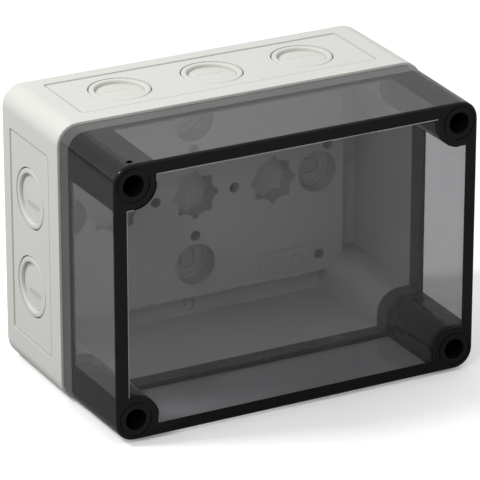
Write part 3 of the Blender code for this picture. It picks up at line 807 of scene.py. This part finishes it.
def cut_recess(piece, length):
    """Cross recess in a screw head, cut and then kept as plain faces."""
    bm = bmesh.new()
    for turn, size in enumerate(((CROSS_WIDTH, CROSS_LENGTH), (CROSS_LENGTH, CROSS_WIDTH))):
        box = bmesh.ops.create_cube(bm, size=1)["verts"]
        bmesh.ops.scale(bm, vec=(*size, 2 * CROSS_DEPTH), verts=box)
        bmesh.ops.translate(bm, vec=(0, 0, length + CUT_STAGGER * turn), verts=box)
    mesh = bpy.data.meshes.new("recess_cutter")
    bm.to_mesh(mesh)
    bm.free()
    cutter = bpy.data.objects.new("recess_cutter", mesh)
    bpy.context.scene.collection.objects.link(cutter)
    modifier = piece.modifiers.new("recess", "BOOLEAN")
    modifier.operation = "DIFFERENCE"
    modifier.solver = "EXACT"
    modifier.use_self = True
    modifier.object = cutter
    bpy.context.view_layer.update()
    shaped = piece.evaluated_get(bpy.context.evaluated_depsgraph_get())
    result = bpy.data.meshes.new_from_object(shaped)
    piece.modifiers.clear()
    piece.data = result
    bpy.data.objects.remove(cutter, do_unlink=True)
    return result


def make_insert(node, corner, brass):
    """Brass insert with a knurled band top and bottom."""
    low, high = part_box(node)
    outer = (high.x - low.x) / 2
    half = (high.y - low.y) / 2
    inner = outer - INSERT_WALL
    waist = outer - WAIST_DEPTH
    shoulder = WAIST_HALF + WAIST_SLOPE
    top = [(inner + BORE_EDGE, half), (outer - INSERT_EDGE, half), (outer, half - INSERT_EDGE),
           (outer, shoulder), (waist, WAIST_HALF)]
    profile = top + [(radius, -height) for radius, height in reversed(top)]
    profile += [(inner, BORE_EDGE - half), (inner, half - BORE_EDGE)]

    def knurl(radius, height, angle):
        if radius < outer:
            return radius
        return radius - KNURL_DEPTH / 2 * (1 + math.cos(KNURLS * angle))

    bm = turned(bmesh.new(), profile, INSERT_STEPS, hollow=True, radius_at=knurl)
    add_piece(f"brass_insert_{corner}", bm, [brass], "base", [node],
              towards((0, -1, 0), middle(node)))


def make_screws(settings):
    """Captive screws with their threads, and the brass inserts that take them."""
    steel = metal_finish("zinc_plated_steel", (0.52, 0.52, 0.53), 0.3, 0.3)
    brass = metal_finish("turned_brass", (0.72, 0.5, 0.2), 0.3, 0.35)
    low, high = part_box("cover_screw_top_right")
    length = high.y - low.y
    shaped = None
    for corner in CORNERS:
        node = f"cover_screw_{corner}"
        tip = middle(node)
        tip.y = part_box(node)[1].y
        matrix = towards((0, -1, 0), tip)
        bm = screw_mesh(settings, length, (high.x - low.x) / 2)
        piece = add_piece(f"captive_screw_{corner}", bm, [steel], f"screw_{corner}",
                          [node], matrix)
        if shaped:
            piece.data = shaped
        else:
            shaped = cut_recess(piece, length)
        make_insert(f"threaded_insert_{corner}", corner, brass)


# Studio

def add_area(name, place, size, power, target):
    """Square light that faces a point."""
    light = bpy.data.lights.new(name, "AREA")
    light.size = size
    light.energy = power
    lamp = bpy.data.objects.new(name, light)
    bpy.context.scene.collection.objects.link(lamp)
    lamp.matrix_world = towards(Vector(place) - Vector(target), place)


def studio_floor_finish(bounce, lift, share):
    """White to the eye and through the cover, and dimmer in reflections and bounced light."""
    material, tree, shader = fresh_material("studio_floor")
    shader.inputs["Base Color"].default_value = (0.96, 0.96, 0.96, 1.0)
    shader.inputs["Emission Color"].default_value = (1.0, 1.0, 1.0, 1.0)
    shader.inputs["Emission Strength"].default_value = lift
    shader.inputs["Roughness"].default_value = 0.9
    shader.inputs["Specular IOR Level"].default_value = 0.0
    dim = tree.nodes.new("ShaderNodeBsdfDiffuse")
    dim.inputs["Color"].default_value = (bounce,) * 3 + (1.0,)
    ray = tree.nodes.new("ShaderNodeLightPath")
    mix = tree.nodes.new("ShaderNodeMixShader")
    through = math_node(tree, "MULTIPLY", ray.outputs["Is Transmission Ray"], share)
    seen = math_node(tree, "MAXIMUM", ray.outputs["Is Camera Ray"], through)
    tree.links.new(seen, mix.inputs[0])
    tree.links.new(dim.outputs[0], mix.inputs[1])
    tree.links.new(shader.outputs[0], mix.inputs[2])
    tree.links.new(mix.outputs[0], tree.nodes["Material Output"].inputs["Surface"])
    return material


def add_floor(settings):
    """Flat white floor just below the box."""
    bm = bmesh.new()
    bmesh.ops.create_grid(bm, x_segments=1, y_segments=1, size=3)
    mesh = bpy.data.meshes.new("studio_floor")
    bm.to_mesh(mesh)
    bm.free()
    mesh.materials.append(studio_floor_finish(settings.floor_bounce, settings.floor_lift,
                                              settings.floor_share))
    floor = bpy.data.objects.new("studio_floor", mesh)
    floor.location.z = CAD_BOX[0][2] - CAD_GAP
    bpy.context.scene.collection.objects.link(floor)


def add_camera(settings):
    """Camera above and to the left of the front."""
    camera = bpy.data.cameras.new("camera")
    camera.sensor_width = 36
    camera.lens = settings.lens
    camera.clip_start = 0.1
    camera.clip_end = 20
    eye = bpy.data.objects.new("camera", camera)
    bpy.context.scene.collection.objects.link(eye)
    turn, dip = settings.camera_turn, settings.camera_dip
    ahead = Vector((math.sin(turn) * math.cos(dip), math.cos(turn) * math.cos(dip), -math.sin(dip)))
    eye.rotation_mode = "QUATERNION"
    eye.rotation_quaternion = ahead.to_track_quat("-Z", "Y")
    eye.location = settings.camera_place
    bpy.context.scene.camera = eye


def make_studio(settings):
    """Pale floor, soft light and the camera."""
    scene = bpy.context.scene
    add_floor(settings)
    world = bpy.data.worlds.new("studio")
    world.use_nodes = True
    world.node_tree.nodes["Background"].inputs["Color"].default_value = (1, 1, 1, 1)
    world.node_tree.nodes["Background"].inputs["Strength"].default_value = settings.world
    scene.world = world
    centre = (Vector(CAD_BOX[0]) + Vector(CAD_BOX[1])) / 2
    for name, place, size in LIGHTS:
        add_area(f"{name}_light", place, size, getattr(settings, name), centre)
    add_camera(settings)
    scene.view_settings.view_transform = "Standard"


# Operators

class JUNCTIONBOX_OT_base(bpy.types.Operator):
    """Build the moulded base and the marks in its floor"""
    bl_idname = "junction_box.base"
    bl_label = "Moulded base"

    def execute(self, context):
        settings = context.scene.junction_box.moulded
        make_base(settings)
        make_floor_marks(settings)
        return {"FINISHED"}


class JUNCTIONBOX_OT_entries(bpy.types.Operator):
    """Build the ring and disc of every tear-out cable entry"""
    bl_idname = "junction_box.entries"
    bl_label = "Cable entries"

    def execute(self, context):
        make_entries(context.scene.junction_box.entries)
        return {"FINISHED"}


class JUNCTIONBOX_OT_cover(bpy.types.Operator):
    """Build the smoked cover"""
    bl_idname = "junction_box.cover"
    bl_label = "Smoked cover"

    def execute(self, context):
        make_cover(context.scene.junction_box.cover)
        return {"FINISHED"}


class JUNCTIONBOX_OT_seals(bpy.types.Operator):
    """Build the gasket and the screw washers"""
    bl_idname = "junction_box.seals"
    bl_label = "Seals"

    def execute(self, context):
        make_seals()
        return {"FINISHED"}


class JUNCTIONBOX_OT_screws(bpy.types.Operator):
    """Build the captive screws and their threaded inserts"""
    bl_idname = "junction_box.screws"
    bl_label = "Screws and inserts"

    def execute(self, context):
        make_screws(context.scene.junction_box.screws)
        return {"FINISHED"}


class JUNCTIONBOX_OT_studio(bpy.types.Operator):
    """Set up the floor, the light and the camera"""
    bl_idname = "junction_box.studio"
    bl_label = "Studio"

    def execute(self, context):
        make_studio(context.scene.junction_box.studio)
        return {"FINISHED"}


STEPS = (JUNCTIONBOX_OT_base, JUNCTIONBOX_OT_entries, JUNCTIONBOX_OT_cover, JUNCTIONBOX_OT_seals,
         JUNCTIONBOX_OT_screws, JUNCTIONBOX_OT_studio)


class JUNCTIONBOX_PT_panel(bpy.types.Panel):
    """Lists the steps that build the junction box"""
    bl_idname = "JUNCTIONBOX_PT_panel"
    bl_label = "Junction box"
    bl_space_type = "VIEW_3D"
    bl_region_type = "UI"
    bl_category = "Junction box"

    def draw(self, context):
        for step in STEPS:
            self.layout.operator(step.bl_idname)


CLASSES = (MouldedSettings, EntrySettings, CoverSettings, ScrewSettings, StudioSettings,
           JunctionBoxSettings, *STEPS, JUNCTIONBOX_PT_panel)


def register():
    for item in CLASSES:
        bpy.utils.register_class(item)
    bpy.types.Scene.junction_box = PointerProperty(type=JunctionBoxSettings)


def unregister():
    del bpy.types.Scene.junction_box
    for item in reversed(CLASSES):
        bpy.utils.unregister_class(item)


def main():
    register()
    for step in STEPS:
        group, name = step.bl_idname.split(".")
        getattr(getattr(bpy.ops, group), name)()


if __name__ == "__main__":
    main()
